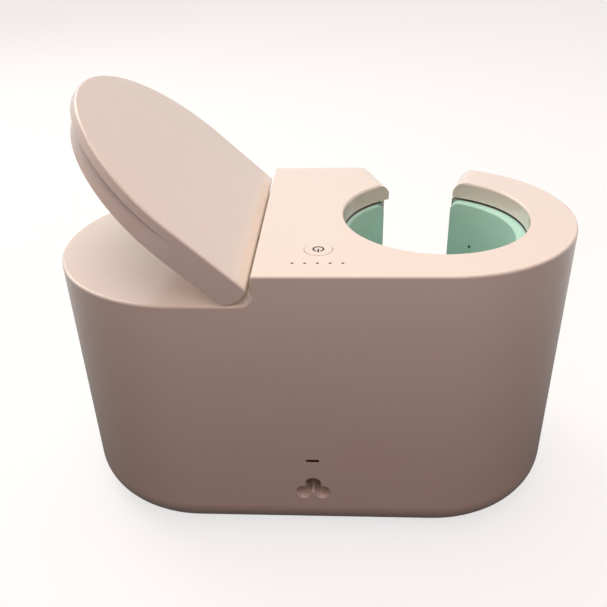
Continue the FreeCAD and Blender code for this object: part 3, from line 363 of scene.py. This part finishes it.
# the photo's camera, as fitted to the outline, the rim, the edges and the lever; angles in radians
view = {"place": (0.015238, -0.340253, 0.303074), "azimuth": 0.064183, "elevation": 0.530077,
        "roll": -0.030371, "lens": 42.086, "sensorWidth": 36.0, "clip": (0.01, 50.0)}


def placeCamera(look):
    camera = bpy.data.objects.new("camera", bpy.data.cameras.new("camera"))
    scene.collection.objects.link(camera)
    scene.camera = camera
    camera.data.sensor_width = look["sensorWidth"]
    camera.data.lens = look["lens"]
    camera.data.clip_start, camera.data.clip_end = look["clip"]
    azimuth, elevation, roll = look["azimuth"], look["elevation"], look["roll"]
    forward = Vector((-math.sin(azimuth) * math.cos(elevation), math.cos(azimuth) * math.cos(elevation),
                      -math.sin(elevation)))
    level = Vector((math.cos(azimuth), math.sin(azimuth), 0.0))
    upward = level.cross(forward)
    across = level * math.cos(roll) + upward * math.sin(roll)
    above = upward * math.cos(roll) - level * math.sin(roll)
    turned = Matrix((across, above, -forward)).transposed().to_4x4()
    camera.matrix_world = Matrix.Translation(look["place"]) @ turned


placeCamera(view)
print("camera placed")


# modelling helpers
alongAxis = 0.99  # share of a step that has to lie along an axis


def chosen(*pieces):  # selects these alone, with the last one active
    bpy.ops.object.select_all(action="DESELECT")
    for piece in pieces:
        piece.select_set(True)
    bpy.context.view_layer.objects.active = pieces[-1]


def boxed(name, place, size):  # a block to start from, in edit mode with nothing selected
    bpy.ops.object.select_all(action="DESELECT")
    bpy.ops.mesh.primitive_cube_add(size=1.0, location=place, scale=size)
    piece = bpy.context.active_object
    piece.name = name
    bpy.ops.object.transform_apply(location=True, rotation=True, scale=True)
    bpy.ops.object.mode_set(mode="EDIT")
    bpy.ops.mesh.select_all(action="DESELECT")
    return piece


def pick(piece, test, kind="EDGE"):  # selects the edges or faces that pass a test
    data = bmesh.from_edit_mesh(piece.data)
    bpy.ops.mesh.select_mode(type=kind)
    bpy.ops.mesh.select_all(action="DESELECT")
    for part in {"FACE": data.faces, "EDGE": data.edges}[kind]:
        if test(part):
            part.select_set(True)
    data.select_flush_mode()
    bmesh.update_edit_mesh(piece.data)


def runs(edge, axis):  # whether an edge lies along an axis
    step = edge.verts[1].co - edge.verts[0].co
    return abs(step[axis]) > alongAxis * step.length


def middle(edge):
    return (edge.verts[0].co + edge.verts[1].co) / 2


def boxMiddle(node):
    low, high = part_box(node)
    return (low + high) / 2


def bevelled(width, steps):
    bpy.ops.mesh.bevel(offset=width, offset_type="OFFSET", segments=steps, affect="EDGES")


def applied(piece, kind, name, **settings):  # adds a modifier and applies it
    modifier = piece.modifiers.new(name, kind)
    for setting, value in settings.items():
        setattr(modifier, setting, value)
    chosen(piece)
    bpy.ops.object.modifier_apply(modifier=name)


def trimmed(piece, operation, name, place, radius, depth, turn=(0.0, 0.0, 0.0), sides=192):  # by a cylinder
    bpy.ops.object.select_all(action="DESELECT")
    bpy.ops.mesh.primitive_cylinder_add(vertices=sides, radius=radius, depth=depth, location=place,
                                        rotation=turn)
    tool = bpy.context.active_object
    applied(piece, "BOOLEAN", name, operation=operation, object=tool, solver="EXACT")
    bpy.data.objects.remove(tool)


def settled(piece, body, look, smooth=35.0):  # finishes a piece, smooth below an angle in degrees
    bpy.ops.object.mode_set(mode="OBJECT")
    chosen(piece)
    bpy.ops.object.transform_apply(location=True, rotation=True, scale=True)
    bpy.ops.object.shade_smooth_by_angle(angle=math.radians(smooth))
    piece.data.materials.clear()
    piece.data.materials.append(finish[look])
    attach(piece, body)


# heater pads: silicone slabs with soft edges and rounded free corners, bent round the mug
mounts = {mount["name"]: mount for mount in frame["record"]["mounts"]}
pads = {"axis": mounts["mug_clamp"]["pos_m"][0], "radius": mounts["mug_clamp"]["dims"]["r_mm"] / 1000,
        "jawAxis": mounts["mug_seat"]["pos_m"][0], "jawFace": 0.04648,  # the jaw's circle trims the back
        "ends": {"left": (120.8, 264.1), "right": (-79.6, 69.1)},  # degrees round the pads' axis
        "thick": 0.0062, "short": 0.00005,  # short of the node's top and foot
        "corner": 0.005, "cornerSteps": 7, "edge": 0.0009, "edgeSteps": 4, "bends": 64,
        "sensorHole": 0.00086, "holeSides": 24}


def makePad(side, look):
    start, end = (math.radians(angle) for angle in look["ends"][side])
    low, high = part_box("heater_pad_" + side)
    foot, top = low[2] + look["short"], high[2] - look["short"]
    width, tall, halfway = look["radius"] * (end - start), top - foot, (foot + top) / 2
    freeEnd = 1.0 if side == "right" else -1.0
    piece = boxed("heater_pad_face_" + side, (0.0, -look["thick"] / 2, halfway),
                  (width, look["thick"], tall))
    pick(piece, lambda edge: runs(edge, 1) and middle(edge).x * freeEnd > 0)
    bevelled(look["corner"], look["cornerSteps"])
    pick(piece, lambda edge: not runs(edge, 1) and middle(edge).y > -look["edge"] / 2)
    bevelled(look["edge"], look["edgeSteps"])
    for cut in range(1, look["bends"]):
        bpy.ops.mesh.select_all(action="SELECT")
        bpy.ops.mesh.bisect(plane_co=(width * (cut / look["bends"] - 0.5), 0.0, 0.0),
                            plane_no=(1.0, 0.0, 0.0))
    bpy.ops.object.mode_set(mode="OBJECT")
    applied(piece, "SIMPLE_DEFORM", "round_the_mug", deform_method="BEND", deform_axis="Z",
            angle=end - start)
    turn = (start + end) / 2 + math.pi / 2
    piece.rotation_euler = (0.0, 0.0, turn)
    piece.location = (look["axis"] + look["radius"] * math.sin(turn), -look["radius"] * math.cos(turn), 0.0)
    bpy.ops.object.transform_apply(location=True, rotation=True, scale=True)
    trimmed(piece, "INTERSECT", "against_the_jaw", (look["jawAxis"], 0.0, halfway), look["jawFace"],
            2 * tall)
    if side == "right":
        sensor = boxMiddle("temperature_sensor")
        bearing = math.atan2(sensor.y, sensor.x - look["axis"])
        trimmed(piece, "DIFFERENCE", "sensor_hole", sensor, look["sensorHole"], 2 * look["thick"],
                (0.0, math.pi / 2, bearing), look["holeSides"])
    settled(piece, side + "_jaw", "heater_silicone")
    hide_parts("heater_pad_" + side)


for side in pads["ends"]:
    makePad(side, pads)
print("heater pads bent")


# power symbol printed on the button: an open ring and its bar, readable from the handle side
symbol = {"ring": 0.0024, "line": 0.00092, "opening": 46.0, "steps": 32, "weld": 0.000001,
          "sunk": 0.00002, "proud": 0.00004,  # below and above the button's top
          "bar": 0.0034, "barRound": 0.0002, "barSteps": 4}


def makeSymbol(look):
    x, y = boxMiddle("power_button").xy
    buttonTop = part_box("power_button")[1][2]
    high, tall = buttonTop + (look["proud"] - look["sunk"]) / 2, look["proud"] + look["sunk"]
    bpy.ops.object.select_all(action="DESELECT")
    bpy.ops.mesh.primitive_plane_add(size=1.0, location=(x + look["ring"], y, high),
                                     rotation=(math.pi / 2, 0.0, 0.0))
    ring = bpy.context.active_object
    ring.name = "power_symbol"
    ring.scale = (look["line"], tall, 1.0)
    bpy.ops.object.transform_apply(location=True, rotation=True, scale=True)
    bpy.ops.object.mode_set(mode="EDIT")
    bpy.ops.mesh.select_all(action="SELECT")
    toStart = math.radians(90.0 + look["opening"] / 2)  # the operator turns clockwise seen from above
    bpy.ops.transform.rotate(value=toStart, orient_axis="Z", center_override=(x, y, high))
    bpy.ops.mesh.spin(steps=look["steps"], angle=math.radians(360.0 - look["opening"]), center=(x, y, high),
                      axis=(0.0, 0.0, 1.0))
    bpy.ops.mesh.select_all(action="SELECT")
    bpy.ops.mesh.remove_doubles(threshold=look["weld"])
    bpy.ops.mesh.normals_make_consistent(inside=False)
    bpy.ops.object.mode_set(mode="OBJECT")
    bar = boxed("power_symbol_bar", (x, y - look["bar"] / 2, high), (look["line"], look["bar"], tall))
    pick(bar, lambda edge: runs(edge, 2))
    bevelled(look["barRound"], look["barSteps"])
    bpy.ops.object.mode_set(mode="OBJECT")
    chosen(bar, ring)
    bpy.ops.object.join()
    settled(ring, "power_button", "printed_ink", 30.0)


makeSymbol(symbol)
print("power symbol made")


# mouth of the charging socket: a thin dark lining that fills the slot's edge, open to the socket behind; its
# darkness is painted shade
mouth = {"wide": 0.00694, "tall": 0.00174, "lining": 0.00024,
         "endShare": 0.499, "endSteps": 8,  # just under half, so that both ends come out round
         "recess": 0.00012, "shellGap": 0.00008}  # behind the wall's face, in front of the socket's shell


def makeMouth(look):
    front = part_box("upper_housing")[0][1] + look["recess"]
    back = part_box("usb_shell")[0][1] - look["shellGap"]
    socket = boxMiddle("usb_shell")
    piece = boxed("charging_socket_painted_shade_lining", (socket.x, (front + back) / 2, socket.z),
                  (look["wide"], back - front, look["tall"]))
    pick(piece, lambda edge: runs(edge, 1))
    bevelled(look["tall"] * look["endShare"], look["endSteps"])
    pick(piece, lambda face: abs(face.normal.y) > alongAxis, "FACE")
    bpy.ops.mesh.inset(thickness=look["lining"], use_individual=True)
    bpy.ops.mesh.bridge_edge_loops()
    bpy.ops.mesh.select_all(action="SELECT")
    bpy.ops.mesh.normals_make_consistent(inside=False)
    settled(piece, "housing", "socket_lining", 40.0)


makeMouth(mouth)
print("socket mouth lined")


white = (1.0, 1.0, 1.0, 1.0)
studio = {"floorSize": 12.0, "floorCuts": 8, "paperTone": (0.35, 0.35, 0.35, 1.0), "paperGlow": 0.72,
          "bounce": linear(46, 34, 31),  # the dim paper that lights the object from below
          "shade": (0.14, 0.55), "shadeLeft": 0.15,  # painted shadow: paper seen in mirrors darkens towards the object
          "skyTint": linear(255, 215, 202), "skySpan": (0.1, 0.95), "horizon": 0.07, "zenith": 0.6,
          "lampAim": (0.0, 0.0, 0.1)}
lamps = {
    "overhead_lamp": dict(place=(-0.1, 0.3, 1.2), size=(1.0, 1.0), power=5.4, colour=(0.985, 1.0, 0.905)),
    "side_lamp": dict(place=(-0.9, 0.75, 1.05), size=(0.9, 0.9), power=6.6, colour=(1.0, 1.0, 0.92)),
    "front_lamp": dict(place=(0.04, -0.29, 0.4), size=(0.24, 0.24), power=0.31, colour=(1.0, 0.81, 0.78)),
}


def emptied(holder):  # the node tree of a material or world, with nothing in it
    holder.use_nodes = True
    holder.node_tree.nodes.clear()
    return holder.node_tree


def backdropShown(tree, mirrorShare):  # 1 where the camera, glass or a mirror looks at the backdrop
    rays = addNode(tree, "ShaderNodeLightPath").outputs
    direct = maths(tree, "MAXIMUM", rays["Is Camera Ray"], rays["Is Transmission Ray"])
    return maths(tree, "MAXIMUM", direct, maths(tree, "MULTIPLY", rays["Is Glossy Ray"], mirrorShare))


def putOut(tree, outputKind, shown, lighting, backdrop):
    choice = addNode(tree, "ShaderNodeMixShader",
                     {0: shown, 1: lighting.outputs[0], 2: backdrop.outputs[0]})
    addNode(tree, outputKind, {"Surface": choice.outputs[0]})


def layFloor(look):  # glowing white paper as the camera sees it, dim paper for the rest
    bpy.ops.object.select_all(action="DESELECT")
    bpy.ops.mesh.primitive_grid_add(x_subdivisions=look["floorCuts"], y_subdivisions=look["floorCuts"],
                                    size=look["floorSize"], location=(0, 0, 0))
    floor = bpy.context.active_object
    floor.name = "studio_floor"
    paper = bpy.data.materials.new("floor_paper")
    tree = emptied(paper)
    away = addNode(tree, "ShaderNodeVectorMath", {0: onPiece(tree)}, operation="LENGTH").outputs["Value"]
    # painted shadow: mirrors see the paper darker near the object
    shown = backdropShown(tree, spread(tree, away, look["shade"], look["shadeLeft"], 1.0))
    sheet = addNode(tree, "ShaderNodeBsdfDiffuse", {"Color": look["paperTone"]})
    glow = addNode(tree, "ShaderNodeEmission", {"Color": white, "Strength": look["paperGlow"]})
    lit = addNode(tree, "ShaderNodeAddShader", {0: sheet.outputs[0], 1: glow.outputs[0]})
    dim = addNode(tree, "ShaderNodeBsdfDiffuse", {"Color": look["bounce"]})
    putOut(tree, "ShaderNodeOutputMaterial", shown, dim, lit)
    floor.data.materials.append(paper)


def lightRoom(look):  # a sky that is brighter overhead, and a white backdrop
    scene.world = bpy.data.worlds.new("studio_world")
    tree = emptied(scene.world)
    toSky = addNode(tree, "ShaderNodeTexCoord").outputs["Generated"]
    height = addNode(tree, "ShaderNodeSeparateXYZ", {"Vector": toSky}).outputs["Z"]
    strength = spread(tree, height, look["skySpan"], look["horizon"], look["zenith"])
    sky = addNode(tree, "ShaderNodeBackground", {"Color": look["skyTint"], "Strength": strength})
    backdrop = addNode(tree, "ShaderNodeBackground", {"Color": white, "Strength": 1.0})
    putOut(tree, "ShaderNodeOutputWorld", backdropShown(tree, 1.0), sky, backdrop)


def hangLamp(name, look, aim):
    lamp = bpy.data.lights.new(name, "AREA")
    lamp.shape = "RECTANGLE"
    lamp.size, lamp.size_y = look["size"]
    lamp.energy = look["power"]
    lamp.color = look["colour"]
    holder = bpy.data.objects.new(name, lamp)
    scene.collection.objects.link(holder)
    holder.location = look["place"]
    holder.visible_camera = False
    holder.rotation_mode = "QUATERNION"
    holder.rotation_quaternion = (Vector(aim) - Vector(look["place"])).to_track_quat("-Z", "Y")


layFloor(studio)
lightRoom(studio)
for name, look in lamps.items():
    hangLamp(name, look, studio["lampAim"])
print("stage lit")
